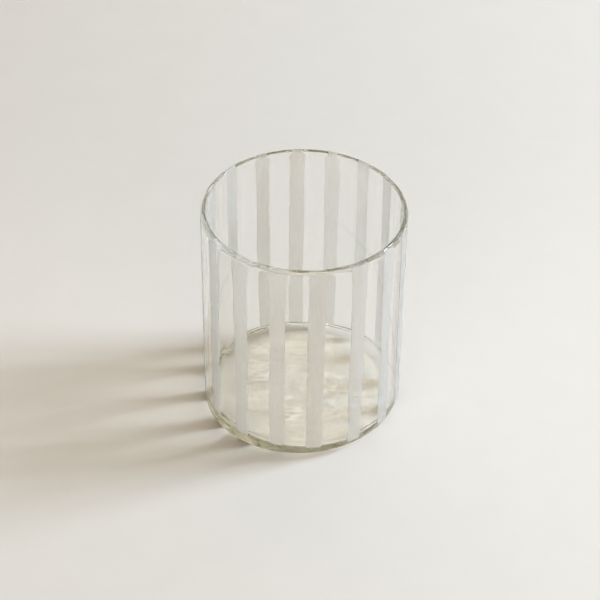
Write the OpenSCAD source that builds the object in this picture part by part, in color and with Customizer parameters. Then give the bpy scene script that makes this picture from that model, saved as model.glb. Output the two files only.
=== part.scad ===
// Straight-sided blown glass tumbler with sixteen brushed enamel stripes.
// Millimetres. +Z is up, and the origin is the centre of the foot on the table.
// -Y is the front, and the stripes are counted anticlockwise seen from above.

/* [Glass] */
// Diameter over the bare glass wall
glass_d = 80; // [64:1:96]
// Height from the table to the top of the lip
glass_h = 95; // [75:1:130]
// Thickness of the side wall
wall = 2; // [1.6:0.1:3]
// Thickness of the base at its edge
base_t = 5; // [4:0.25:8]
// How far the floor rises at the middle of the base
floor_rise = 0.6; // [0.2:0.1:1.5]
// Radius of the inside corner between floor and wall
corner_r = 3; // [1.5:0.25:5]
// Radius of the outside heel, where the wall turns into the foot
heel_r = 4.5; // [3:0.25:6]
// Share of the wall that the lip's broad outside rounding takes, the inside edge has the rest
lip_share = 0.75; // [0.5:0.05:0.85]
// Width of the flat ring that the glass stands on
foot_w = 4; // [2:0.5:6]
// Depth of the hollow under the base
punt_h = 1; // [0.4:0.1:2]

/* [Stripes] */
// Usual width of a stripe
stripe_w = 5.6; // [3.5:0.1:8]
// Thickness of the fired coat
stripe_t = 0.15; // [0.1:0.01:0.3]
// Usual bare glass between the stripes' highest reach and a stripe's top end
stripe_top = 1.2; // [0.6:0.1:8]
// How far the brush wanders to each side along an edge
edge_wander = 0.18; // [0.05:0.01:0.4]
// Radius of the corners at a stripe's ends
end_r = 1.3; // [0.6:0.1:1.6]
// Length over which the full brush leaves a wider start at the top
start_len = 7; // [3:0.5:12]

/* [Hidden] */
$fn = 120;

// Radii and heights that follow from the glass
glass_r = glass_d / 2;
inner_r = glass_r - wall;
lip_r = wall * lip_share;
lip_z = glass_h - lip_r;
lip_edge_r = wall - lip_r;
crest_r = glass_r - lip_r;
foot_r = glass_r - heel_r;
punt_r = foot_r - foot_w;
floor_r = inner_r - corner_r;

// One overrun serves every cut
over = 1;

// How far the stripes' reach goes up the lip's rounding, and the height where it ends
stripe_rise = lip_r / 3;
stripe_end_z = lip_z + stripe_rise;

// Facets of the two shallow domes, which are parts of very large circles
dome_facets = 1440;

// Where each stripe sits, as shares of the even spacing, from the one right of the front
stripe_count = 16;
spacing = 360 / stripe_count;
first_angle = 7.4;
place_shares = [
    0.00, 0.08, 0.04, -0.06, 0.03, 0.12, 0.05, -0.05,
    -0.12, -0.20, -0.20, -0.25, -0.11, 0.03, 0.03, 0.05
];

// How wide each stripe is, as shares of the usual width
width_shares = [
    0.93, 1.03, 1.07, 1.05, 1.00, 1.01, 0.97, 1.05,
    1.09, 1.04, 1.02, 1.03, 1.00, 1.08, 1.07, 0.96
];

// How much wider each stripe starts at its top, as shares of its width
start_shares = [
    0.10, 0.04, 0.06, 0.08, 0.10, 0.12, 0.04, 0.05,
    0.12, 0.06, 0.08, 0.05, 0.09, 0.07, 0.18, 0.16
];

// How far each stripe leans sideways from top to bottom, as shares of the usual width
lean_shares = [
    -0.10, -0.08, 0.06, 0.10, -0.06, -0.12, -0.04, 0.02,
    0.05, -0.12, -0.10, -0.06, 0.08, 0.12, -0.02, -0.05
];

// Bare wall above each stripe, as shares of the usual bare wall
top_shares = [
    0.55, 0.15, 0.25, 0.60, 1.00, 1.20, 0.20, 1.70,
    1.10, 1.15, 0.55, 0.80, 1.00, 0.85, 0.95, 1.10
];

// Height of each stripe's lower end, as shares of the heel radius
end_shares = [
    1.25, 1.00, 0.45, 0.50, 1.05, 1.15, 0.90, 1.20,
    1.05, 1.25, 0.95, 1.10, 0.85, 1.50, 1.25, 1.35
];

// The two waves that make up an edge: turns along the stripe, height, and step between stripes
wave_turns = [1.7, 4.3];
wave_shares = [0.65, 0.35];
wave_steps = [133, 211];
edge_steps = 16;
corner_steps = 3;

// Outline of the glass without its hollow, from the axis outwards
module outer_profile() {
    translate([0, heel_r])
        square([glass_r, lip_z - heel_r]);
    square([foot_r, heel_r]);
    translate([foot_r, heel_r])
        circle(r = heel_r);
}

// Fire-polished lip: rounded broadly on the outside, tightly on the inside
module lip_profile() {
    intersection() {
        translate([crest_r, lip_z])
            circle(r = lip_r);
        translate([crest_r, lip_z])
            square(lip_r + over);
    }
    translate([inner_r, lip_z])
        square([lip_edge_r, lip_r - lip_edge_r]);
    translate([crest_r, glass_h - lip_edge_r])
        intersection() {
            circle(r = lip_edge_r);
            translate([-lip_edge_r, 0])
                square(lip_edge_r);
        }
}

// The hollow that holds the drink, with a rounded inside corner and a slightly domed floor
module hollow_profile() {
    dome_r = (floor_r * floor_r + floor_rise * floor_rise) / (2 * floor_rise);
    difference() {
        union() {
            translate([0, base_t])
                square([floor_r, glass_h]);
            translate([0, base_t + corner_r])
                square([inner_r, glass_h]);
            translate([floor_r, base_t + corner_r])
                circle(r = corner_r);
        }
        translate([0, base_t + floor_rise - dome_r])
            circle(r = dome_r, $fn = dome_facets);
    }
}

// The shallow hollow under the base, inside the standing ring
module punt_profile() {
    arch_r = (punt_r * punt_r + punt_h * punt_h) / (2 * punt_h);
    translate([0, punt_h - arch_r])
        circle(r = arch_r, $fn = dome_facets);
}

// Blown body: wall, fire-rounded lip, heel, thick base and pushed-up underside
module glass_body() {
    color([0.86, 0.88, 0.84, 0.4])
        rotate_extrude() {
            difference() {
                outer_profile();
                hollow_profile();
                punt_profile();
            }
            lip_profile();
        }
}

// A coat of even thickness that lies on the outside of the lip's rounding, the wall and the heel
module coat_shell() {
    rotate_extrude() {
        translate([glass_r, heel_r])
            square([stripe_t, lip_z - heel_r]);
        intersection() {
            translate([crest_r, lip_z])
                square([lip_r + stripe_t, stripe_rise]);
            translate([crest_r, lip_z])
                difference() {
                    circle(r = lip_r + stripe_t);
                    circle(r = lip_r);
                }
        }
        intersection() {
            translate([foot_r, 0])
                square([heel_r + stripe_t, heel_r]);
            translate([foot_r, heel_r])
                difference() {
                    circle(r = heel_r + stripe_t);
                    circle(r = heel_r);
                }
        }
    }
}

// Wander of one edge of stripe k at the share u of its height, side is -1 or 1
function wander(k, side, u) = edge_wander * (
    wave_shares[0] * sin(360 * wave_turns[0] * u + wave_steps[0] * k + 90 * side)
    + wave_shares[1] * sin(360 * wave_turns[1] * u + wave_steps[1] * k - 45 * side));

// Half the width of stripe k at height z, with the fuller start at its top end z1
function half_w(k, z, z1) = stripe_w * width_shares[k] / 2
    * (1 + start_shares[k] * exp(-pow((z1 - z) / start_len, 2)));

// One point on the edge of stripe k at the share u between its ends z0 and z1
function edge_point(k, side, u, z0, z1) = let (z = z0 + u * (z1 - z0)) [
    stripe_w * lean_shares[k] * (0.5 - u) + side * half_w(k, z, z1) + wander(k, side, u),
    z
];

// A rounded corner between the edge point p and the stripe's end at height z
function corner(p, side, z, turn) = [
    for (i = [1 : corner_steps])
        let (a = 90 * i / (corner_steps + 1))
            [p[0] - side * end_r * (1 - cos(a)), z - turn * end_r * (1 - sin(a))]
];

function backwards(list) = [for (i = [len(list) - 1 : -1 : 0]) list[i]];

// Outline of stripe k laid flat: across the wall, and up from the table
function stripe_outline(k) =
    let (z0 = heel_r * end_shares[k])
    let (z1 = stripe_end_z - stripe_top * top_shares[k])
    let (u0 = end_r / (z1 - z0))
    let (du = (1 - 2 * u0) / edge_steps)
    let (right = [for (i = [0 : edge_steps]) edge_point(k, 1, u0 + i * du, z0, z1)])
    let (left = [for (i = [0 : edge_steps]) edge_point(k, -1, u0 + i * du, z0, z1)])
    concat(
        [[right[0][0] - end_r, z0]],
        backwards(corner(right[0], 1, z0, -1)),
        right,
        corner(right[edge_steps], 1, z1, 1),
        [[right[edge_steps][0] - end_r, z1]],
        [[left[edge_steps][0] + end_r, z1]],
        backwards(corner(left[edge_steps], -1, z1, 1)),
        backwards(left),
        corner(left[0], -1, z0, -1),
        [[left[0][0] + end_r, z0]]
    );

// One fired stripe: the coat, cut out along the brushed outline
module stripe(k) {
    angle = first_angle + spacing * (k + place_shares[k]);
    color([0.80, 0.81, 0.80])
        rotate([0, 0, angle - 90])
            intersection() {
                coat_shell();
                translate([foot_r - over, 0, 0])
                    rotate([90, 0, 90])
                        linear_extrude(height = heel_r + stripe_t + 2 * over)
                            polygon(stripe_outline(k));
            }
}

glass_body();
for (k = [0 : stripe_count - 1]) stripe(k);
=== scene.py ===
"""Blown glass tumbler with brushed enamel stripes: its shape as made by hand, its finishes and its studio.

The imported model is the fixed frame. The body and the stripes below replace its nodes with the uneven forms
that blowing and brushing leave. Lengths are in metres: +Z is up, -Y is the front, and angles round the wall
are counted from the front towards +X.
"""

import logging
import math
from dataclasses import dataclass, field
from enum import Enum

import bpy
import numpy as np
from mathutils import Matrix, Vector, noise


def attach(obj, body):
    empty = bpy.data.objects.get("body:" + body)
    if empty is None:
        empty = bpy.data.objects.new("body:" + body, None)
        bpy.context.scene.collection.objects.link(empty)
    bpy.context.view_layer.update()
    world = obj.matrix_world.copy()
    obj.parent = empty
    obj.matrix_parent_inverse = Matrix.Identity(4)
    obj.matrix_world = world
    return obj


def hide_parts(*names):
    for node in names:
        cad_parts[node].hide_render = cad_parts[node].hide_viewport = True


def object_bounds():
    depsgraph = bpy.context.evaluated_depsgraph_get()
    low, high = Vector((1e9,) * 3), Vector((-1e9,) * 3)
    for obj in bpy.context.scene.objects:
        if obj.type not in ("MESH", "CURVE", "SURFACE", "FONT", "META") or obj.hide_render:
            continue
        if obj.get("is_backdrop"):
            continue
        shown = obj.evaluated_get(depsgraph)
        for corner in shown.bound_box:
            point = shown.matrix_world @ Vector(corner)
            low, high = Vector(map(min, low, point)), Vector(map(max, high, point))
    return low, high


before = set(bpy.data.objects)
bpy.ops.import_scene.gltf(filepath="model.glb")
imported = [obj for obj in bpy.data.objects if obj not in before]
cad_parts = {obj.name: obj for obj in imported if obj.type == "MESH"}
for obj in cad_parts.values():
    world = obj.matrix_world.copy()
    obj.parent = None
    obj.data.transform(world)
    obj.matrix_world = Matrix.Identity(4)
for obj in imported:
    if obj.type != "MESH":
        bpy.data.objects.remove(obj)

log = logging.getLogger("tumbler")

MM = 0.001
PHOTO_WIDTH = 600
SENSOR_WIDTH = 36.0
# Name of the value on the glass's points that paints lamp light and shade on the paper under the glass
FOOT_LIGHT = "foot_light"
# Degrees from +X to the window, seen from above
WINDOW_AZIMUTH = 11.5
# How far apart the noise patterns of two whole seeds lie
NOISE_STEP = (17.31, 5.77, 11.93)

Colour = tuple[float, float, float]
Span = tuple[float, float]
Face = tuple[int, ...]
Values = np.ndarray | float


class Slot(Enum):
    """The record's material slots."""

    CLEAR_GLASS = "clear_glass"
    STRIPE_ENAMEL = "stripe_enamel"


class Stretch(Enum):
    """The stretches of the glass's cut face, in order, each with the number of points it is drawn from."""

    PUNT = ("hollow under the base", 90)
    SOLE = ("standing ring", 14)
    HEEL = ("heel", 34)
    OUTSIDE = ("outer wall", 60)
    LIP = ("lip", 17)
    INSIDE = ("inner wall", 80)
    WELL = ("inside corner", 18)
    FLOOR = ("inner floor", 110)

    @property
    def steps(self) -> int:
        """How many points the stretch is drawn from."""
        return self.value[1]


Cut = dict[Stretch, np.ndarray]


def spans_of(cut: Cut) -> dict[Stretch, slice]:
    """Finds the stretches of a cut face.

    Args:
        cut: Points by stretch.

    Returns:
        Where each stretch starts and stops among all the points.
    """
    stops = np.cumsum([len(part) for part in cut.values()]).tolist()
    return {stretch: slice(stop - len(part), stop) for (stretch, part), stop in zip(cut.items(), stops)}


def opaque(colour: Colour) -> tuple[float, float, float, float]:
    """A colour with full alpha, as sockets want it."""
    return (*colour, 1.0)


def smooth_noise(points: np.ndarray, size: float, seed: float) -> np.ndarray:
    """Soft random values at points in space.

    Args:
        points: One point a row.
        size: Distance between the bumps, in the points' own unit.
        seed: Picks one pattern out of many.

    Returns:
        One value a point, mostly from -0.7 to 0.7.
    """
    shift = Vector([step * seed for step in NOISE_STEP])
    return np.array([noise.noise(Vector(p) / size + shift) for p in points])


def ridge(off: np.ndarray, width: Values) -> np.ndarray:
    """A soft ridge, 1 along its middle, at distances off that middle."""
    return np.exp(-((off / width) ** 2))


def progress(value: Values, span: Span) -> Values:
    """How far a value has come through a span, from 0 to 1."""
    first, last = span
    return np.clip((value - first) / (last - first), 0.0, 1.0)


def nearest_turn(angle: Values) -> Values:
    """The same angle, between minus and plus half a turn."""
    return (angle + np.pi) % (2 * np.pi) - np.pi


def off_axis(points: np.ndarray) -> np.ndarray:
    """How far points, one a row, are from the axis of the glass."""
    return np.hypot(points[:, 0], points[:, 1])


def wall_angle(points: np.ndarray) -> np.ndarray:
    """The angles round the wall of points, one a row."""
    return np.arctan2(points[:, 0], -points[:, 1])


def middle_angle(points: np.ndarray) -> float:
    """The angle round the wall of the middle of some points."""
    return math.atan2(points[:, 0].mean(), -points[:, 1].mean())


def corners_of(piece: bpy.types.Object) -> np.ndarray:
    """The corners of a piece's mesh, one a row."""
    return np.array([v.co for v in piece.data.vertices])


def mesh_piece(name: str, points: np.ndarray, faces: list[Face]) -> bpy.types.Object:
    """Makes a smooth-shaded piece.

    Args:
        name: The piece's name.
        points: One point a row, in metres.
        faces: The corners of each face, anticlockwise seen from outside.

    Returns:
        The new piece, in the scene.
    """
    mesh = bpy.data.meshes.new(name)
    mesh.from_pydata(points.tolist(), [], faces)
    mesh.validate()
    mesh.shade_smooth()
    piece = bpy.data.objects.new(name, mesh)
    bpy.context.scene.collection.objects.link(piece)
    return piece


def stand_in(piece: bpy.types.Object, node: str) -> None:
    """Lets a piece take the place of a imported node.

    Args:
        piece: The piece that is shown.
        node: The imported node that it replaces.
    """
    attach(piece, "root")
    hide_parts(node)


class Graph:
    """A node tree that is built one node at a time."""

    def __init__(self, tree: bpy.types.NodeTree) -> None:
        """Starts from an empty tree."""
        self.tree = tree
        tree.nodes.clear()

    def add(self, kind: str, settings: dict | None = None, **inputs: object) -> bpy.types.Node:
        """Adds a node.

        Args:
            kind: Blender's name for the kind of node.
            settings: The node's own properties.
            inputs: Numbers, colours or output sockets by input name, with _ for a space. A name that starts
                with "n" and a digit counts the inputs instead.

        Returns:
            The new node.
        """
        node = self.tree.nodes.new(kind)
        for key, value in (settings or {}).items():
            setattr(node, key, value)
        for key, value in inputs.items():
            place = int(key[1:]) if key[0] == "n" and key[1:].isdigit() else key.replace("_", " ")
            if isinstance(value, bpy.types.NodeSocket):
                self.tree.links.new(value, node.inputs[place])
            else:
                node.inputs[place].default_value = value
        return node

    def maths(self, operation: str, *terms: object) -> bpy.types.NodeSocket:
        """The result of a maths node on numbers or sockets."""
        inputs = {f"n{i}": term for i, term in enumerate(terms)}
        return self.add("ShaderNodeMath", {"operation": operation}, **inputs).outputs[0]

    def spread(self, value: object, low: float, high: float) -> bpy.types.NodeSocket:
        """A value from 0 to 1 stretched to run from low to high."""
        return self.maths("MULTIPLY_ADD", value, high - low, low)

    def eased(self, value: object, span: Span, low: float = 0.0, high: float = 1.0) -> bpy.types.NodeSocket:
        """A value that eases from low to high over a span.

        Args:
            value: The number or socket that goes through the span.
            span: Where the change starts and ends.
            low: The result before the span.
            high: The result after it.

        Returns:
            The socket with the result.
        """
        settings = {"interpolation_type": "SMOOTHSTEP"}
        node = self.add("ShaderNodeMapRange", settings, n0=value, n1=span[0], n2=span[1], n3=low, n4=high)
        return node.outputs[0]

    def texture(self, place: object, size: float, detail: float) -> bpy.types.NodeSocket:
        """Noise with features of a size, from 0 to 1."""
        return self.add("ShaderNodeTexNoise", Vector=place, Scale=1 / size, Detail=detail).outputs[0]

    def blend(self, share: object, first: object, second: object) -> bpy.types.NodeSocket:
        """A mix of two colours."""
        return self.add("ShaderNodeMix", {"data_type": "RGBA"}, n0=share, n6=first, n7=second).outputs[2]

    def scaled(self, colour: Colour, factor: object) -> bpy.types.NodeSocket:
        """A colour times a factor."""
        return self.add("ShaderNodeVectorMath", {"operation": "SCALE"}, n0=colour, Scale=factor).outputs[0]


@dataclass(frozen=True)
class ClearGlass:
    """Fire-polished soda-lime glass with a faint olive tint."""

    ior: float = 1.5
    surface: Colour = (1.0, 1.0, 1.0)
    lamp_pass: Colour = (0.987, 0.982, 0.974)
    glance_power: float = 5.0
    depth_colour: Colour = (0.61, 0.59, 0.33)
    depth_density: float = 14.0

    def material(self) -> bpy.types.Material:
        """Makes the material.

        Returns:
            The glass, which lets lamps through as its foot-light value says, painting light and shade on the
            paper below, and takes off light by depth.
        """
        made = bpy.data.materials.new("clear_glass")
        made.use_nodes = True
        graph = Graph(made.node_tree)
        glass = graph.add(
            "ShaderNodeBsdfPrincipled",
            Base_Color=opaque(self.surface),
            Roughness=0.0,
            IOR=self.ior,
            Transmission_Weight=1.0,
        )
        facing = graph.add("ShaderNodeLayerWeight", Blend=0.5).outputs["Facing"]
        glance = graph.maths("SUBTRACT", 1.0, graph.maths("POWER", facing, self.glance_power))
        # The foot-light value paints light and shade on the paper: it scales the lamp light that the glass
        # lets through
        shade = graph.add("ShaderNodeAttribute", {"attribute_name": FOOT_LIGHT}).outputs["Fac"]
        lamp_colour = graph.scaled(self.lamp_pass, graph.maths("MULTIPLY", glance, shade))
        lamp = graph.add("ShaderNodeBsdfTransparent", Color=lamp_colour)
        light = graph.add("ShaderNodeLightPath")
        passing = graph.maths("MAXIMUM", light.outputs["Is Shadow Ray"], light.outputs["Is Diffuse Ray"])
        both = graph.add("ShaderNodeMixShader", n0=passing, n1=glass.outputs[0], n2=lamp.outputs[0])
        depth = graph.add(
            "ShaderNodeVolumeAbsorption", Color=opaque(self.depth_colour), Density=self.depth_density
        )
        graph.add("ShaderNodeOutputMaterial", Surface=both.outputs[0], Volume=depth.outputs[0])
        return made


@dataclass(frozen=True)
class StripeEnamel:
    """Milky fired enamel that lets some light through, a little streaky from the brush."""

    thin: Colour = (0.86, 0.87, 0.865)
    full: Colour = (0.99, 1.0, 0.993)
    cover_span: Span = (0.32, 0.68)
    depth: float = 0.4 * MM
    clearness: float = 0.68
    ior: float = 1.25
    roughness: float = 0.8
    grain: float = 0.9 * MM
    streak: float = 0.5 * MM
    streak_flow: float = 0.09
    streak_share: float = 0.6
    relief: float = 0.04 * MM
    relief_strength: float = 0.25

    def material(self) -> bpy.types.Material:
        """Makes the material.

        Returns:
            The enamel, with streaks along the stripe and a fine grain.
        """
        made = bpy.data.materials.new("stripe_enamel")
        made.use_nodes = True
        graph = Graph(made.node_tree)
        place = graph.add("ShaderNodeTexCoord").outputs["Object"]
        along = graph.add("ShaderNodeMapping", Vector=place, Scale=(1.0, 1.0, self.streak_flow))
        streaks = graph.texture(along.outputs[0], self.streak, detail=3.0)
        grain = graph.maths("MULTIPLY", graph.texture(place, self.grain, detail=4.0), 1 - self.streak_share)
        mixed = graph.maths("MULTIPLY_ADD", streaks, self.streak_share, grain)
        first, last = self.cover_span
        cover = graph.add("ShaderNodeMapRange", n0=mixed, n1=first, n2=last).outputs[0]
        relief = graph.add(
            "ShaderNodeBump", Strength=self.relief_strength, Distance=self.relief, Height=mixed
        )
        coat = graph.add(
            "ShaderNodeBsdfPrincipled",
            {"subsurface_method": "RANDOM_WALK"},
            Base_Color=graph.blend(cover, opaque(self.thin), opaque(self.full)),
            Roughness=self.roughness,
            IOR=self.ior,
            Transmission_Weight=self.clearness,
            Subsurface_Weight=1.0,
            Subsurface_Radius=(1.0, 1.0, 1.0),
            Subsurface_Scale=self.depth,
            Normal=relief.outputs[0],
        )
        graph.add("ShaderNodeOutputMaterial", Surface=coat.outputs[0])
        return made


@dataclass(frozen=True)
class PaperFloor:
    """Pale uncoated paper with a soft mottle, and painted shade that makes it darker far off."""

    colour: Colour = (0.79, 0.753, 0.701)
    # Painted shade: the paper is darker far off, where the lamps light it less
    dim: float = 0.93
    painted_far_shade_span: Span = (0.0, 0.22)
    mottle: float = 0.03
    blotch: float = 16.0 * MM
    blotch_share: float = 0.7
    fibre: float = 0.8 * MM
    roughness: float = 0.95
    shine: float = 0.1

    def material(self) -> bpy.types.Material:
        """Makes the material.

        Returns:
            The paper, a shade lighter and darker in soft blotches, and darker far off with painted shade.
        """
        made = bpy.data.materials.new("paper_floor")
        made.use_nodes = True
        graph = Graph(made.node_tree)
        place = graph.add("ShaderNodeTexCoord").outputs["Object"]
        blotches = graph.texture(place, self.blotch, detail=3.0)
        fibres = graph.maths("MULTIPLY", graph.texture(place, self.fibre, detail=2.0), 1 - self.blotch_share)
        mixed = graph.maths("MULTIPLY_ADD", blotches, self.blotch_share, fibres)
        # Painted shade, darker far off along +Y
        far = graph.add("ShaderNodeSeparateXYZ", Vector=place).outputs["Y"]
        distance = graph.eased(far, self.painted_far_shade_span, 1.0, self.dim)
        # The paper's own mottle times that painted shade
        shade = graph.maths("MULTIPLY", distance, graph.spread(mixed, 1 - self.mottle, 1 + self.mottle))
        paper = graph.add(
            "ShaderNodeBsdfPrincipled",
            Base_Color=graph.scaled(self.colour, shade),
            Roughness=self.roughness,
            Specular_IOR_Level=self.shine,
        )
        graph.add("ShaderNodeOutputMaterial", Surface=paper.outputs[0])
        return made


@dataclass(frozen=True)
class Fold:
    """A soft ridge that runs up the inside of the wall. Its angle and wander are in degrees."""

    angle: float = -48.5
    wander: float = 2.5
    wander_size: float = 26.0 * MM
    reach: Span = (12.0 * MM, 86.0 * MM)
    width: float = 2.6 * MM
    depth: float = 0.09 * MM
    usual: float = 0.75
    swell: float = 0.6
    swell_size: float = 13.0 * MM
    bluntness: float = 0.7

    def rise(self, points: np.ndarray) -> np.ndarray:
        """How the fold thickens the wall.

        Args:
            points: Points on the inner wall, one a row.

        Returns:
            How far the wall stands in at each one.
        """
        line = points * np.array([0.0, 0.0, 1.0])
        middle = np.radians(self.angle + self.wander * smooth_noise(line, self.wander_size, seed=self.angle))
        off = off_axis(points) * (wall_angle(points) - middle)
        strength = self.usual + self.swell * smooth_noise(line, self.swell_size, seed=self.angle + 1)
        ends = np.sin(np.pi * progress(points[:, 2], self.reach)) ** self.bluntness
        return self.depth * strength * ends * ridge(off, self.width)


@dataclass(frozen=True)
class WallRelief:
    """Soft waves of both wall faces, calm near the lip and the heel, with a bead and a fold inside."""

    outer_wave: float = 0.03 * MM
    inner_wave: float = 0.05 * MM
    wave_size: float = 16.0 * MM
    wave_flow: float = 0.45
    calm_lip: Span = (2.8 * MM, 16.8 * MM)
    calm_heel: Span = (7.0 * MM, 13.0 * MM)
    bead: float = 0.14 * MM
    bead_height: float = 7.3 * MM
    bead_width: float = 0.45 * MM
    fold: Fold = Fold()

    def waves(self, part: np.ndarray, depth: float, lip: float, seed: float) -> np.ndarray:
        """Waves of one wall face.

        Args:
            part: Points of the wall by angle and station.
            depth: Height of the waves.
            lip: Height of the lip.
            seed: Picks the waves.

        Returns:
            How far each point moves out.
        """
        height = part[..., 2]
        calm = progress(lip - height, self.calm_lip) * progress(height, self.calm_heel)
        stretched = part.reshape(-1, 3) * np.array([1.0, 1.0, self.wave_flow])
        return depth * calm * smooth_noise(stretched, self.wave_size, seed).reshape(height.shape)

    def outside(self, part: np.ndarray, lip: float) -> np.ndarray:
        """How far points of the outer wall and the heel move out, under a lip of some height."""
        return self.waves(part, self.outer_wave, lip, seed=1.0)

    def inside(self, part: np.ndarray, lip: float) -> np.ndarray:
        """Waves, bead and fold of the inner wall.

        Args:
            part: Points of the inner wall by angle and station.
            lip: Height of the lip.

        Returns:
            How far each point moves out.
        """
        added = self.fold.rise(part.reshape(-1, 3)).reshape(part.shape[:2])
        added += self.bead * ridge(part[..., 2] - self.bead_height, self.bead_width)
        return self.waves(part, self.inner_wave, lip, seed=2.0) - added


@dataclass(frozen=True)
class HeelRelief:
    """Waves round the heel, and an uneven bead along it. Places and widths are shares of the heel's arc."""

    wave: float = 0.13 * MM
    waves_round: float = 1.6
    waves_up: float = 5.0
    bluntness: float = 0.5
    bead: float = 0.12 * MM
    bead_place_share: float = 0.74
    bead_width_share: float = 0.045
    bead_usual: float = 0.6
    bead_swell: float = 0.9
    swells_round: float = 4.0

    def outwards(self, direction: np.ndarray, count: int) -> np.ndarray:
        """How far the heel stands out.

        Args:
            direction: The way out from the axis at each angle.
            count: How many stations the heel has.

        Returns:
            One value for each angle and station.
        """
        along = np.linspace(0, 1, count)
        level = np.zeros(len(direction))
        places = [np.c_[direction * self.waves_round, level + self.waves_up * share] for share in along]
        waves = np.array([smooth_noise(place, 1.0, seed=14.0) for place in places]).T
        swell = smooth_noise(np.c_[direction * self.swells_round, level], 1.0, seed=21.0)
        strength = self.bead_usual + self.bead_swell * swell
        bead = strength[:, None] * ridge(along - self.bead_place_share, self.bead_width_share)
        return self.wave * waves * np.sin(np.pi * along) ** self.bluntness + self.bead * bead


@dataclass(frozen=True)
class FloorRelief:
    """Tool ripples round the middle of the inner floor, dimples over them and a bead along its edge."""

    ripple: float = 0.07 * MM
    ripple_step: float = 3.4 * MM
    warp: float = 6.6
    warp_size: float = 22.0 * MM
    patch_usual: float = 0.55
    patch_swell: float = 0.9
    patch_size: float = 14.0 * MM
    dimple: float = 0.10 * MM
    dimple_size: float = 3.0 * MM
    calm_edge: Span = (-1.5 * MM, 2.5 * MM)
    bead: float = 0.16 * MM
    bead_swell: float = 1.2
    bead_swell_size: float = 11.0 * MM
    crest: float = 1.4 * MM
    crest_width: float = 0.5 * MM
    groove: float = 0.3 * MM
    groove_width: float = 0.45 * MM

    def upwards(self, points: np.ndarray, edge: float) -> np.ndarray:
        """How far the floor is raised.

        Args:
            points: Points on the floor, one a row.
            edge: The floor's radius.

        Returns:
            One value a point.
        """
        out = off_axis(points)
        warp = self.warp * smooth_noise(points, self.warp_size, seed=3.0)
        rings = np.sin(2 * np.pi * out / self.ripple_step + warp)
        patches = self.patch_usual + self.patch_swell * smooth_noise(points, self.patch_size, seed=8.0)
        dimples = smooth_noise(points, self.dimple_size, seed=5.0)
        tooled = self.ripple * patches * rings + self.dimple * dimples
        swell = 1 + self.bead_swell * smooth_noise(points, self.bead_swell_size, seed=15.0)
        crest = ridge(edge - self.crest - out, self.crest_width)
        groove = ridge(edge - self.groove - out, self.groove_width)
        return progress(edge - out, self.calm_edge) * tooled + self.bead * swell * (crest - groove)


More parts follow.
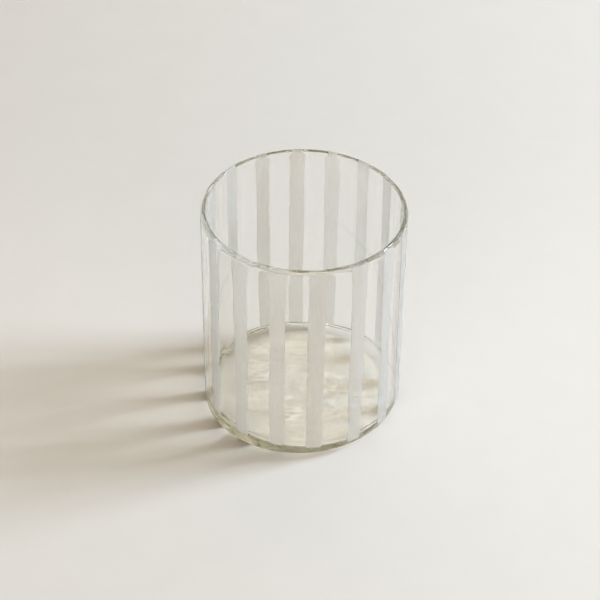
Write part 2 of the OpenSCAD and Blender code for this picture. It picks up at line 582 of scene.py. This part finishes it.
@dataclass(frozen=True)
class BlownBody:
    """The glass: side wall, fire-rounded lip, uneven heel, thick base and hollowed underside."""

    radius: float = 40.0 * MM
    height: float = 95.0 * MM
    wall: float = 2.0 * MM
    base: float = 5.0 * MM
    floor_rise: float = 0.6 * MM
    floor_lean: float = 0.5 * MM
    corner: float = 3.0 * MM
    corner_tuck: float = 2.3 * MM
    punt_radius: float = 31.5 * MM
    punt_height: float = 1.0 * MM
    punt_bevel: float = 0.5 * MM
    punt_step: float = 0.02 * MM
    sole_gap: float = 0.1 * MM
    well_gap: float = 0.3 * MM
    heel_mean: float = 4.6 * MM
    heel_lean: float = 2.9 * MM
    heel_tuck: float = 2.3 * MM
    heel_start: float = -86.0
    well_end: float = -88.0
    lip_drop: float = 0.4 * MM
    lip_out: float = 1.3 * MM
    lip_fall: float = 2.4 * MM
    lip_in: float = 0.65 * MM
    lip_in_lean: float = 0.15 * MM
    lip_dip: float = 0.6 * MM
    lip_reach_share: float = 0.98
    crowding: float = 1.7
    walls: WallRelief = WallRelief()
    heel_relief: HeelRelief = HeelRelief()
    floor_relief: FloorRelief = FloorRelief()
    around: int = 480

    @property
    def inner(self) -> float:
        """Radius of the inner wall."""
        return self.radius - self.wall

    @property
    def crown(self) -> float:
        """Height of the middle of the hollow under the base."""
        return self.punt_height + self.punt_step

    def heel(self, angle: Values) -> Values:
        """Radius of the heel at angles round the wall: large at the right, small at the left and behind."""
        behind = np.clip(-np.cos(angle), 0.0, 1.0) ** 2
        return self.heel_mean + self.heel_lean * np.sin(angle) - self.heel_tuck * behind

    def top(self, angle: Values) -> Values:
        """Height of the lip's crest, a little lower on the right."""
        return self.height - self.lip_drop * (1 + np.sin(angle))

    def skin(self, angle: np.ndarray, z: np.ndarray) -> tuple[np.ndarray, np.ndarray, np.ndarray]:
        """The outside of the wall and the heel.

        Args:
            angle: Angles round the wall.
            z: Heights above the table, one for each angle.

        Returns:
            The radius there, and the outward normal's parts away from the axis and up.
        """
        heel = self.heel(angle)
        below = np.clip(heel - z, 0.0, heel)
        out = np.sqrt(np.clip(heel**2 - below**2, 0.0, None))
        above = np.clip((z - self.top(angle)) / self.lip_fall + 1, 0.0, self.lip_reach_share)
        bend = np.sqrt(1 - above**2)
        radius = self.radius - heel + out - self.lip_out * (1 - bend)
        slope_out = bend / self.lip_out
        slope_up = above / self.lip_fall
        steep = np.hypot(slope_out, slope_up)
        on_lip = above > 0
        normal_out = np.where(on_lip, slope_out / steep, out / heel)
        normal_up = np.where(on_lip, slope_up / steep, -below / heel)
        return radius, normal_out, normal_up

    def underside(self, heel: float) -> Cut:
        """The cut face of the underside and the heel, from the middle out and up.

        Args:
            heel: Radius of the heel.

        Returns:
            Distances from the axis and heights, one point a row, for each stretch.
        """
        hollow = np.linspace(0.0, self.punt_radius - self.punt_bevel, Stretch.PUNT.steps)[1:]
        arch = self.crown - self.punt_height * (hollow / self.punt_radius) ** 2
        foot = self.radius - heel
        sole = np.linspace(self.punt_radius + self.punt_bevel, foot - self.sole_gap, Stretch.SOLE.steps)
        turn = np.radians(np.linspace(self.heel_start, 0, Stretch.HEEL.steps))
        return {
            Stretch.PUNT: np.c_[hollow, arch],
            Stretch.SOLE: np.c_[sole, np.zeros_like(sole)],
            Stretch.HEEL: np.c_[foot + heel * np.cos(turn), heel + heel * np.sin(turn)],
        }

    def rim(self, heel: float, top: float, ahead: float) -> Cut:
        """The cut face of the outer wall and the lip, up and over.

        Args:
            heel: Radius of the heel.
            top: Height of the lip's crest.
            ahead: 1 at the front, -1 at the back.

        Returns:
            Distances from the axis and heights, one point a row, for each stretch.
        """
        rise = np.linspace(heel, top - self.lip_fall, Stretch.OUTSIDE.steps)[1:-1]
        over = np.radians(np.linspace(0, 90, Stretch.LIP.steps))
        climb_out = self.radius - self.lip_out * (1 - np.cos(over))
        climb_up = top - self.lip_fall * (1 - np.sin(over))
        under = over[1::2][::-1]
        lip_in = self.lip_in + self.lip_in_lean * ahead
        drop_out = self.inner + lip_in * (1 - np.cos(under))
        drop_up = top - self.lip_dip * (1 - np.sin(under))
        lip = [np.c_[climb_out, climb_up], np.c_[drop_out, drop_up], [[self.inner, top - self.lip_dip]]]
        return {
            Stretch.OUTSIDE: np.c_[np.full_like(rise, self.radius), rise],
            Stretch.LIP: np.vstack(lip),
        }

    def hollow(self, top: float, ahead: float) -> Cut:
        """The cut face of the hollow that holds the drink, down the inner wall and in to the axis.

        Args:
            top: Height of the lip's crest.
            ahead: 1 at the front, -1 at the back.

        Returns:
            Distances from the axis and heights, one point a row, for each stretch.
        """
        front = max(0.0, ahead)
        behind = max(0.0, -ahead)
        corner = self.corner - self.corner_tuck * (behind**6 + front**2)
        edge = self.inner - corner
        lean = self.floor_lean * behind
        start = self.base + corner
        falling = np.linspace(1, 0, Stretch.INSIDE.steps)[1:-1] ** self.crowding
        fall = start + (top - self.lip_dip - start) * falling
        bend = np.radians(np.linspace(0, self.well_end, Stretch.WELL.steps))
        well_up = self.base + corner * (1 + np.sin(bend)) + lean
        back = np.linspace(edge - self.well_gap, 0.0, Stretch.FLOOR.steps)[:-1]
        floor_up = self.base + self.floor_rise + (lean - self.floor_rise) * (back / edge) ** 2
        return {
            Stretch.INSIDE: np.c_[np.full_like(fall, self.inner), fall],
            Stretch.WELL: np.c_[edge + corner * np.cos(bend), well_up],
            Stretch.FLOOR: np.c_[back, floor_up],
        }

    def cut(self, angle: float) -> Cut:
        """The body's cut face at one angle, from the middle of the underside out, up, over the lip and in.

        Args:
            angle: The angle round the wall.

        Returns:
            Distances from the axis and heights, one point a row, for each stretch in turn.
        """
        heel = float(self.heel(angle))
        top = float(self.top(angle))
        ahead = math.cos(angle)
        return self.underside(heel) | self.rim(heel, top, ahead) | self.hollow(top, ahead)

    def roughen(self, grid: np.ndarray, direction: np.ndarray, spans: dict[Stretch, slice]) -> None:
        """Moves the walls, the heel and the inner floor by what the blowing left.

        Args:
            grid: Points of the body by angle and station, changed in place.
            direction: The way out from the axis at each angle.
            spans: The stations of each stretch.
        """
        outside = grid[:, spans[Stretch.HEEL].start : spans[Stretch.OUTSIDE].stop]
        inside = grid[:, spans[Stretch.INSIDE]]
        heel = grid[:, spans[Stretch.HEEL]]
        floor = grid[:, spans[Stretch.WELL].start : spans[Stretch.FLOOR].stop]
        shifts = (
            (outside, self.walls.outside(outside, self.height)),
            (inside, self.walls.inside(inside, self.height)),
            (heel, self.heel_relief.outwards(direction, heel.shape[1])),
        )
        for part, shift in shifts:
            part[..., :2] += shift[..., None] * direction[:, None, :]
        raised = self.floor_relief.upwards(floor.reshape(-1, 3), self.inner - self.corner)
        floor[..., 2] += raised.reshape(floor.shape[:2])

    def build(self) -> bpy.types.Object:
        """Makes the body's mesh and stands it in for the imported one.

        Returns:
            The new piece.
        """
        angles = np.arange(self.around) * 2 * np.pi / self.around
        cuts = [self.cut(angle) for angle in angles]
        rings = np.array([np.vstack(list(cut.values())) for cut in cuts])
        out = rings[..., 0]
        direction = np.c_[np.sin(angles), -np.cos(angles)]
        grid = np.dstack([out * direction[:, :1], out * direction[:, 1:], rings[..., 1]])
        self.roughen(grid, direction, spans_of(cuts[0]))
        middles = [[0, 0, self.crown], [0, 0, grid[:, -1, 2].mean()]]
        points = np.vstack([grid.reshape(-1, 3), middles])
        body = mesh_piece("blown_body", points, self.faces(grid.shape[1]))
        stand_in(body, "glass_body")
        return body

    def faces(self, count: int) -> list[Face]:
        """The body's faces.

        Args:
            count: How many points each cut face has.

        Returns:
            The corners of each face, where the middles of underside and inner floor are the last two points.
        """
        underside = self.around * count
        floor = underside + 1
        faces: list[Face] = []
        for first in range(0, underside, count):
            second = (first + count) % underside
            faces.append((underside, second, first))
            faces.extend((first + k, second + k, second + k + 1, first + k + 1) for k in range(count - 1))
            faces.append((first + count - 1, second + count - 1, floor))
        return faces


@dataclass(frozen=True)
class Fullness:
    """How much further a heavier brush stroke spreads to its left and right, and at its start alone."""

    left: float = 0.0
    right: float = 0.0
    start_left: float = 0.0
    start_right: float = 0.0
    start_length: float = 3.5 * MM

    def spread(self, below_top: np.ndarray) -> tuple[np.ndarray, np.ndarray]:
        """The extra widths to the left and right at distances below the stripe's top."""
        start = ridge(below_top, self.start_length)
        return self.left + self.start_left * start, self.right + self.start_right * start


HEAVY_STROKES: dict[str, Fullness] = {
    "stripe_01": Fullness(0.7 * MM, 0.6 * MM, 0.0, 1.6 * MM),
    "stripe_02": Fullness(0.3 * MM, 0.1 * MM, 0.4 * MM, 0.3 * MM),
    "stripe_15": Fullness(0.0, 0.2 * MM, 0.5 * MM, 0.4 * MM),
    "stripe_16": Fullness(0.6 * MM, 0.2 * MM, 0.9 * MM, 0.3 * MM),
}


@dataclass(frozen=True)
class BrushedStripe:
    """One brush stroke of enamel on the outside of the wall, as a thin closed coat.

    The seed steps keep the patterns of one stripe apart from the next one's.
    """

    node: str
    number: int
    body: BlownBody
    coat: float = 0.13 * MM
    sunk: float = 0.03 * MM
    taper: float = 0.45 * MM
    least_width: float = 1.0 * MM
    level_digits: int = 5
    far_angle: float = 125.0
    far_reach: float = 1.6 * MM
    lip_gap: float = 0.7 * MM
    fray: float = 0.20 * MM
    fray_size: float = 3.2 * MM
    fray_seed_step: float = 3.0
    fine_fray_share: float = 0.5
    fine_fray_times: float = 3.1
    fine_fray_seed: float = 0.5
    ragged: float = 0.5 * MM
    ragged_size: float = 2.2 * MM
    ragged_seed: float = 4.0
    ragged_seed_step: float = 7.0 * MM
    streak: float = 0.03 * MM
    streak_size: float = 0.7 * MM
    streak_flow: float = 0.08
    streak_seed_step: float = 5.0 * MM
    end_crowding: float = 0.35
    rows: int = 260
    columns: int = 17

    def outline(self) -> tuple[float, np.ndarray, np.ndarray, np.ndarray]:
        """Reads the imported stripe's outline.

        Returns:
            The stripe's angle, the heights of its outline, and its left and right edges at these heights, as
            distances along the wall.
        """
        corners = corners_of(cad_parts[self.node])
        middle = middle_angle(corners)
        along = nearest_turn(wall_angle(corners) - middle)
        heights = np.round(corners[:, 2], self.level_digits)
        levels = np.unique(heights)
        left = np.array([along[heights == z].min() for z in levels]) * self.body.radius
        right = np.array([along[heights == z].max() for z in levels]) * self.body.radius
        keep = right - left > self.least_width
        return middle, levels[keep], left[keep], right[keep]

    def top_end(self, middle: float, packed: float) -> float:
        """The height of the stripe's top end, where a stripe at the back runs on further up the lip.

        Args:
            middle: The stripe's angle.
            packed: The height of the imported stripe's top end.

        Returns:
            The mean height of the brushed one.
        """
        if abs(middle) <= math.radians(self.far_angle):
            return packed
        return min(packed + self.far_reach, float(self.body.top(middle)) - self.lip_gap)

    def row_shares(self) -> np.ndarray:
        """Places of the rows from the lower end, 0, to the top end, 1, a little crowded at both."""
        even = np.linspace(0, 1, self.rows)
        return even + self.end_crowding * ((1 - np.cos(np.pi * even)) / 2 - even)

    def frayed(self, z: np.ndarray, side: float) -> np.ndarray:
        """How the brush strays along one edge.

        Args:
            z: Heights along the edge.
            side: 1 for the left edge and 2 for the right one.

        Returns:
            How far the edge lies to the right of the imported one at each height.
        """
        line = np.outer(z, [0.0, 0.0, 1.0])
        seed = self.fray_seed_step * self.number + side
        coarse = smooth_noise(line, self.fray_size, seed)
        fine = smooth_noise(line, self.fray_size / self.fine_fray_times, seed + self.fine_fray_seed)
        return self.fray * (coarse + self.fine_fray_share * fine)

    def ragged_top(self, across: np.ndarray) -> np.ndarray:
        """How the brush left the stripe's top end.

        Args:
            across: Places across the wall.

        Returns:
            How far the end reaches past its mean height at each one.
        """
        own = np.full_like(across, self.ragged_seed_step * self.number)
        places = np.c_[np.zeros_like(across), across, own]
        return self.ragged * smooth_noise(places, self.ragged_size, self.ragged_seed + self.number)

    def lift(self, flat: np.ndarray, z: np.ndarray, gap: np.ndarray) -> np.ndarray:
        """Thickness of the coat, full in the middle and rounded off to its border.

        Args:
            flat: Places across the wall by row and column.
            z: Heights, the same.
            gap: Distances to the border, the same.

        Returns:
            How far each point stands off the glass.
        """
        own = np.full(flat.size, self.streak_seed_step * self.number)
        places = np.c_[flat.ravel(), own, z.ravel() * self.streak_flow]
        streaks = smooth_noise(places, self.streak_size, seed=9.0).reshape(flat.shape)
        full = np.clip(gap / self.taper, 0, 1)
        rounded = np.sqrt(full * (2 - full))
        return rounded * (self.coat + self.sunk + self.streak * streaks) - self.sunk

    def build(self) -> bpy.types.Object:
        """Makes the stripe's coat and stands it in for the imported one.

        Returns:
            The new piece.
        """
        middle, levels, left, right = self.outline()
        low = levels[0]
        high = self.top_end(middle, levels[-1])
        share = self.row_shares()
        z = low + share * (high - low)
        fuller_left, fuller_right = HEAVY_STROKES.get(self.node, Fullness()).spread(high - z)
        first = np.interp(z, levels, left) + self.frayed(z, 1.0) - fuller_left
        last = np.interp(z, levels, right) + self.frayed(z, 2.0) + fuller_right
        columns = (1 + np.sin(np.linspace(-1, 1, self.columns) * np.pi / 2)) / 2
        flat = first[:, None] + (last - first)[:, None] * columns
        upper_half = progress(share, (0.5, 1.0))
        z_grid = z[:, None] + self.ragged_top(flat[0]) * upper_half[:, None]
        side_gap = np.minimum(flat - first[:, None], last[:, None] - flat)
        gap = np.minimum(side_gap, np.minimum(z - low, high - z)[:, None])
        angle = middle + flat / self.body.radius
        front = self.laid(angle, z_grid, self.lift(flat, z_grid, gap))
        back = self.laid(angle, z_grid, np.full_like(flat, -self.sunk))
        stripe = self.close(front, back)
        stand_in(stripe, self.node)
        return stripe

    def laid(self, angle: np.ndarray, z: np.ndarray, lift: np.ndarray) -> np.ndarray:
        """Points that stand off the glass along its normal.

        Args:
            angle: Angles round the wall by row and column.
            z: Heights, the same.
            lift: Distances off the glass, the same.

        Returns:
            The points in space.
        """
        radius, normal_out, normal_up = self.body.skin(angle, z)
        out = radius + normal_out * lift
        return np.dstack([out * np.sin(angle), -out * np.cos(angle), z + normal_up * lift])

    def close(self, front: np.ndarray, back: np.ndarray) -> bpy.types.Object:
        """Joins the coat's two faces along their shared border.

        Args:
            front: The outer face's points by row and column.
            back: The inner face's points, the same at the border.

        Returns:
            The closed piece.
        """
        rows, columns = front.shape[:2]
        index = np.arange(rows * columns).reshape(rows, columns)
        inner = index.copy()
        inner[1:-1, 1:-1] = rows * columns + np.arange((rows - 2) * (columns - 2)).reshape(rows - 2, -1)
        points = np.vstack([front.reshape(-1, 3), back[1:-1, 1:-1].reshape(-1, 3)])
        faces: list[Face] = []
        for i in range(rows - 1):
            for j in range(columns - 1):
                faces.append((index[i, j], index[i, j + 1], index[i + 1, j + 1], index[i + 1, j]))
                faces.append((inner[i, j], inner[i + 1, j], inner[i + 1, j + 1], inner[i, j + 1]))
        return mesh_piece(f"brushed_{self.node}", points, [tuple(int(k) for k in f) for f in faces])


@dataclass(frozen=True)
class Glints:
    """Painted light and dark lines on the paper under the base, standing in for those that the rippled floor
    throws.
    """

    ring_step: float = 2.6 * MM
    warp: float = 7.0
    warp_size: float = 16.0 * MM
    combed_size: float = 1.3 * MM
    combed_flow: float = 0.45
    speck_size: float = 1.0 * MM
    patch_usual: float = 0.6
    patch_swell: float = 0.8
    patch_size: float = 12.0 * MM
    ring_share: float = 0.35
    combed_share: float = 0.9
    speck_share: float = 0.5

    def at(self, points: np.ndarray) -> np.ndarray:
        """How light or dark the pattern is.

        Args:
            points: Points on the underside, one a row.

        Returns:
            About -1 to 1 at each one.
        """
        warp = self.warp * smooth_noise(points, self.warp_size, seed=3.0)
        rings = np.sin(2 * np.pi * off_axis(points) / self.ring_step + warp)
        stretched = points * np.array([self.combed_flow, 1.0, 1.0])
        combed = smooth_noise(stretched, self.combed_size, seed=6.0)
        specks = smooth_noise(points, self.speck_size, seed=12.0)
        patches = self.patch_usual + self.patch_swell * smooth_noise(points, self.patch_size, seed=8.0)
        return patches * (self.ring_share * rings + self.combed_share * combed + self.speck_share * specks)


@dataclass(frozen=True)
class SparedLight:
    """Painted light that lifts the shadows of the lamp's side stripes on the base, standing in for light
    that the walls scatter.
    """

    strength: float = 0.60
    wall: float = 39.0 * MM
    sharp: float = 2.4 * MM
    spread: float = 0.13
    least_facing: float = 0.3

    def at(self, points: np.ndarray, middles: np.ndarray) -> np.ndarray:
        """How much lighter the base is where a stripe's shadow falls.

        Args:
            points: Points on the underside, one a row.
            middles: The stripes' angles round the wall.

        Returns:
            The factor by which each point is lighter.
        """
        turn = math.radians(WINDOW_AZIMUTH)
        to_lamp = np.array([math.cos(turn), math.sin(turn)])
        flat = points[:, :2]
        ahead = flat @ to_lamp
        path = np.sqrt(ahead**2 - (flat**2).sum(1) + self.wall**2) - ahead
        leaves = flat + path[:, None] * to_lamp
        off = nearest_turn(wall_angle(leaves)[:, None] - middles)
        facing = np.clip(leaves @ to_lamp / self.wall, self.least_facing, 1.0)
        blur = np.hypot(self.sharp, self.spread * path)[:, None]
        across = off * self.wall * facing[:, None]
        return 1 + (self.strength * self.sharp / blur * ridge(across, blur)).sum(1)


@dataclass(frozen=True)
class FootLight:
    """Painted light and shade on the paper under the glass: how much lamp light each point of the thick base
    lets out on to it. Angles are in degrees.
    """

    glints: Glints = Glints()
    spared: SparedLight = SparedLight()
    underside_top: float = 1.1 * MM
    punt_radius: float = 31.4 * MM
    usual: float = 1.22
    glint_range: Span = (0.45, 2.3)
    glint_height: float = 0.7 * MM
    least_glint: float = 0.3
    guide_radius: float = 32.0 * MM
    guide_heights: Span = (0.02 * MM, 7.0 * MM)
    stripe_end: float = 4.0 * MM
    shaded: Span = (40.0, 75.0)
    ring_light: float = 1.35
    ring_dim: float = 0.6
    ring_edge: Span = (35.4 * MM, 36.6 * MM)
    behind_start: float = 0.1

    def below_stripes(self, points: np.ndarray, stripes: list[bpy.types.Object]) -> np.ndarray:
        """The middles of the stripes, and the painted shadow below their ends: on the side away from the
        window the base below each stripe's end lets out little or no lamp light, as though the stripe ran on
        to the table.

        Args:
            points: Points of the body, one a row.
            stripes: The stripes on it.

        Returns:
            The stripes' angles round the wall, and the share of the light that each point lets out.
        """
        away = nearest_turn(math.radians(WINDOW_AZIMUTH - 90))
        first, last = self.guide_heights
        low = (off_axis(points) > self.guide_radius) & (points[:, 2] > first) & (points[:, 2] < last)
        shaded = tuple(math.radians(a) for a in self.shaded)
        angle = wall_angle(points)
        light = np.ones(len(points))
        middles: list[float] = []
        for stripe in stripes:
            corners = corners_of(stripe)
            corners = corners[corners[:, 2] < corners[:, 2].min() + self.stripe_end]
            middle = middle_angle(corners)
            middles.append(middle)
            half = np.abs(nearest_turn(wall_angle(corners) - middle)).max()
            # Painted shadow: full for stripes that face away from the window, none for those that face it
            kept = progress(abs(nearest_turn(middle - away)), shaded)
            light = np.where(low & (np.abs(nearest_turn(angle - middle)) < half), kept, light)
        return np.array(middles), light

    def mark(self, body: bpy.types.Object, stripes: list[bpy.types.Object]) -> None:
        """Writes into the body's mesh how much light each point lets out, the painted light and shade on the
        paper.

        Args:
            body: The glass.
            stripes: The stripes on it.
        """
        points = corners_of(body)
        middles, light = self.below_stripes(points, stripes)
        out = off_axis(points)
        low = points[:, 2] < self.underside_top
        # Painted light under the hollow: lighter overall, with painted caustic lines and painted light that
        # lifts the stripes' shadows
        under = low & (out < self.punt_radius)
        close = np.clip(points[under, 2] / self.glint_height, self.least_glint, 1.0)
        light[under] = np.clip(self.usual + close * self.glints.at(points[under]), *self.glint_range)
        light[under] *= self.spared.at(points[under], middles)
        # Painted light under the front of the standing ring, and painted shade under its outer edge at the
        # back
        ring = low & (out > self.punt_radius)
        behind = np.clip(-np.cos(wall_angle(points[ring])) - self.behind_start, 0.0, 1.0)
        light[ring] *= self.ring_light - self.ring_dim * behind * progress(out[ring], self.ring_edge)
        layer = body.data.attributes.new(FOOT_LIGHT, "FLOAT", "POINT")
        layer.data.foreach_set("value", light.astype(np.float32))


@dataclass(frozen=True)
class RoomLight:
    """Light from the room: a pale far floor, dim sides and brighter overhead."""

    far_floor: Colour = (0.68, 0.65, 0.595)
    sides: Colour = (0.12, 0.106, 0.077)
    overhead: Colour = (0.30, 0.262, 0.213)
    floor_rise: Span = (0.06, 0.16)
    overhead_rise: Span = (0.45, 0.85)

    def world(self) -> bpy.types.World:
        """Makes the room.

        Returns:
            A world whose light goes by the height that it comes from.
        """
        made = bpy.data.worlds.new("room_light")
        made.use_nodes = True
        graph = Graph(made.node_tree)
        way = graph.add("ShaderNodeTexCoord").outputs["Generated"]
        up = graph.add("ShaderNodeSeparateXYZ", Vector=way).outputs["Z"]
        lower = graph.blend(graph.eased(up, self.floor_rise), opaque(self.far_floor), opaque(self.sides))
        colour = graph.blend(graph.eased(up, self.overhead_rise), lower, opaque(self.overhead))
        shell = graph.add("ShaderNodeBackground", Color=colour, Strength=1.0)
        graph.add("ShaderNodeOutputWorld", Surface=shell.outputs[0])
        return made


@dataclass(frozen=True)
class SoftLamp:
    """A soft lamp that faces the tumbler, with its floor brightness as written. Angles are in degrees."""

    name: str
    azimuth: float
    rise: float
    distance: float
    width: float
    height: float
    colour: Colour
    mirrored: bool = False
    seen_through: bool = False

    def hang(self) -> bpy.types.Object:
        """Hangs the lamp where its angles say.

        Returns:
            The lamp. One that isn't mirrored lights the pieces but makes no bright spots on the glass, and
            only one that is seen through shows in the light that the glass bends.
        """
        rise = math.radians(self.rise)
        turn = math.radians(self.azimuth)
        way = Vector((math.cos(rise) * math.cos(turn), math.cos(rise) * math.sin(turn), math.sin(rise)))
        strongest = max(self.colour)
        data = bpy.data.lights.new(self.name, "AREA")
        data.shape = "RECTANGLE"
        data.size = self.width
        data.size_y = self.height
        data.color = tuple(c / strongest for c in self.colour)
        # The power at which a white floor looks as bright as the colour says
        data.energy = strongest * math.pi**2 * self.distance**2 / math.sin(rise)
        lamp = bpy.data.objects.new(self.name, data)
        lamp.location = way * self.distance
        lamp.rotation_mode = "QUATERNION"
        lamp.rotation_quaternion = way.to_track_quat("Z", "Y")
        lamp.visible_camera = False
        lamp.visible_glossy = self.mirrored
        lamp.visible_transmission = self.seen_through
        bpy.context.scene.collection.objects.link(lamp)
        return lamp


LAMPS: tuple[SoftLamp, ...] = (
    SoftLamp("window", WINDOW_AZIMUTH, 32.0, 1.9, 0.48, 0.23, (0.197, 0.229, 0.268), mirrored=True),
    SoftLamp("window_wings", WINDOW_AZIMUTH, 32.0, 1.9, 0.68, 0.27, (0.294, 0.342, 0.401)),
    SoftLamp("sweep", 90.0, 26.0, 5.0, 7.0, 2.7, (0.130, 0.117, 0.097)),
    SoftLamp("glow", 55.0, 26.0, 5.0, 2.6, 2.7, (0.034, 0.031, 0.027), seen_through=True),
    SoftLamp("fill", -90.0, 26.0, 5.0, 7.0, 2.7, (0.252, 0.228, 0.190), seen_through=True),
)


@dataclass(frozen=True)
class Studio:
    """The paper floor, the lamps, the room light and the camera. The camera's angles are in degrees.

    The lamps are a window with softer wings, a pale sweep and a small glow behind, and a fill in front.
    """

    camera_rise: float = 39.7117
    camera_distance: float = 816.15 * MM
    camera_target: tuple[float, float, float] = (0.0, 0.0, 45.0 * MM)
    camera_roll: float = 0.749
    camera_clip: Span = (0.01, 100.0)
    focal_px: float = 2042.47
    centre_px: Span = (302.846, 306.740)
    floor_size: float = 6.0
    floor_gap: float = 0.05 * MM
    bounces: int = 64
    see_through_bounces: int = 48
    paper: PaperFloor = PaperFloor()
    room: RoomLight = RoomLight()

    def camera(self) -> bpy.types.Object:
        """Makes the camera at the photograph's viewing angle.

        Returns:
            The scene's camera.
        """
        data = bpy.data.cameras.new("portrait_camera")
        data.sensor_width = SENSOR_WIDTH
        data.lens = SENSOR_WIDTH * self.focal_px / PHOTO_WIDTH
        # Pixel coordinates count from the middle of the first pixel
        half = PHOTO_WIDTH / 2 - 0.5
        data.shift_x = (half - self.centre_px[0]) / PHOTO_WIDTH
        data.shift_y = (self.centre_px[1] - half) / PHOTO_WIDTH
        data.clip_start, data.clip_end = self.camera_clip
        rise = math.radians(self.camera_rise)
        ahead = Vector((0.0, math.cos(rise), -math.sin(rise)))
        right = Vector((1.0, 0.0, 0.0))
        facing = Matrix((right, right.cross(ahead), -ahead)).transposed().to_4x4()
        camera = bpy.data.objects.new("portrait_camera", data)
        camera.matrix_world = (
            Matrix.Translation(Vector(self.camera_target) - self.camera_distance * ahead)
            @ facing
            @ Matrix.Rotation(math.radians(self.camera_roll), 4, "Z")
        )
        bpy.context.scene.collection.objects.link(camera)
        bpy.context.scene.camera = camera
        return camera

    def floor(self) -> bpy.types.Object:
        """Lays the paper just under the foot.

        Returns:
            The sheet of paper.
        """
        half = self.floor_size / 2
        square = ((-half, -half), (half, -half), (half, half), (-half, half))
        corners = np.array([(x, y, -self.floor_gap) for x, y in square])
        sheet = mesh_piece("paper_floor", corners, [(0, 1, 2, 3)])
        sheet.data.materials.append(self.paper.material())
        sheet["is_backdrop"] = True
        return sheet

    def build(self) -> None:
        """Sets up the whole studio."""
        scene = bpy.context.scene
        scene.view_settings.view_transform = "Standard"
        scene.cycles.max_bounces = self.bounces
        scene.cycles.transmission_bounces = self.bounces
        scene.cycles.glossy_bounces = self.bounces
        scene.cycles.transparent_max_bounces = self.see_through_bounces
        self.camera()
        for lamp in LAMPS:
            lamp.hang()
        scene.world = self.room.world()
        self.floor()


@dataclass(frozen=True)
class StripedTumbler:
    """The whole tumbler: the blown body and its sixteen stripes."""

    body: BlownBody = BlownBody()
    glass: ClearGlass = ClearGlass()
    enamel: StripeEnamel = StripeEnamel()
    foot_light: FootLight = FootLight()

    def build(self) -> list[bpy.types.Object]:
        """Makes and dresses every piece.

        Returns:
            The pieces, the body first.
        """
        glass = self.glass.material()
        enamel = self.enamel.material()
        body = self.body.build()
        body.data.materials.append(glass)
        stripes: list[bpy.types.Object] = []
        names = sorted(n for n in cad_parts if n.startswith("stripe_"))
        for number, name in enumerate(names, 1):
            stripe = BrushedStripe(name, number, self.body).build()
            stripe.data.materials.append(enamel)
            stripes.append(stripe)
        self.foot_light.mark(body, stripes)
        return [body, *stripes]


def main() -> None:
    """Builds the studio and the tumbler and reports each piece."""
    logging.basicConfig(level=logging.INFO, format="%(message)s")
    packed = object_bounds()
    Studio().build()
    for piece in StripedTumbler().build():
        log.info("%s: %d faces", piece.name, len(piece.data.polygons))
    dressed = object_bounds()
    for name, box in (("packed", packed), ("dressed", dressed)):
        log.info("%s box in mm: %s", name, [[round(c / MM, 2) for c in corner] for corner in box])


if __name__ == "__main__":
    main()
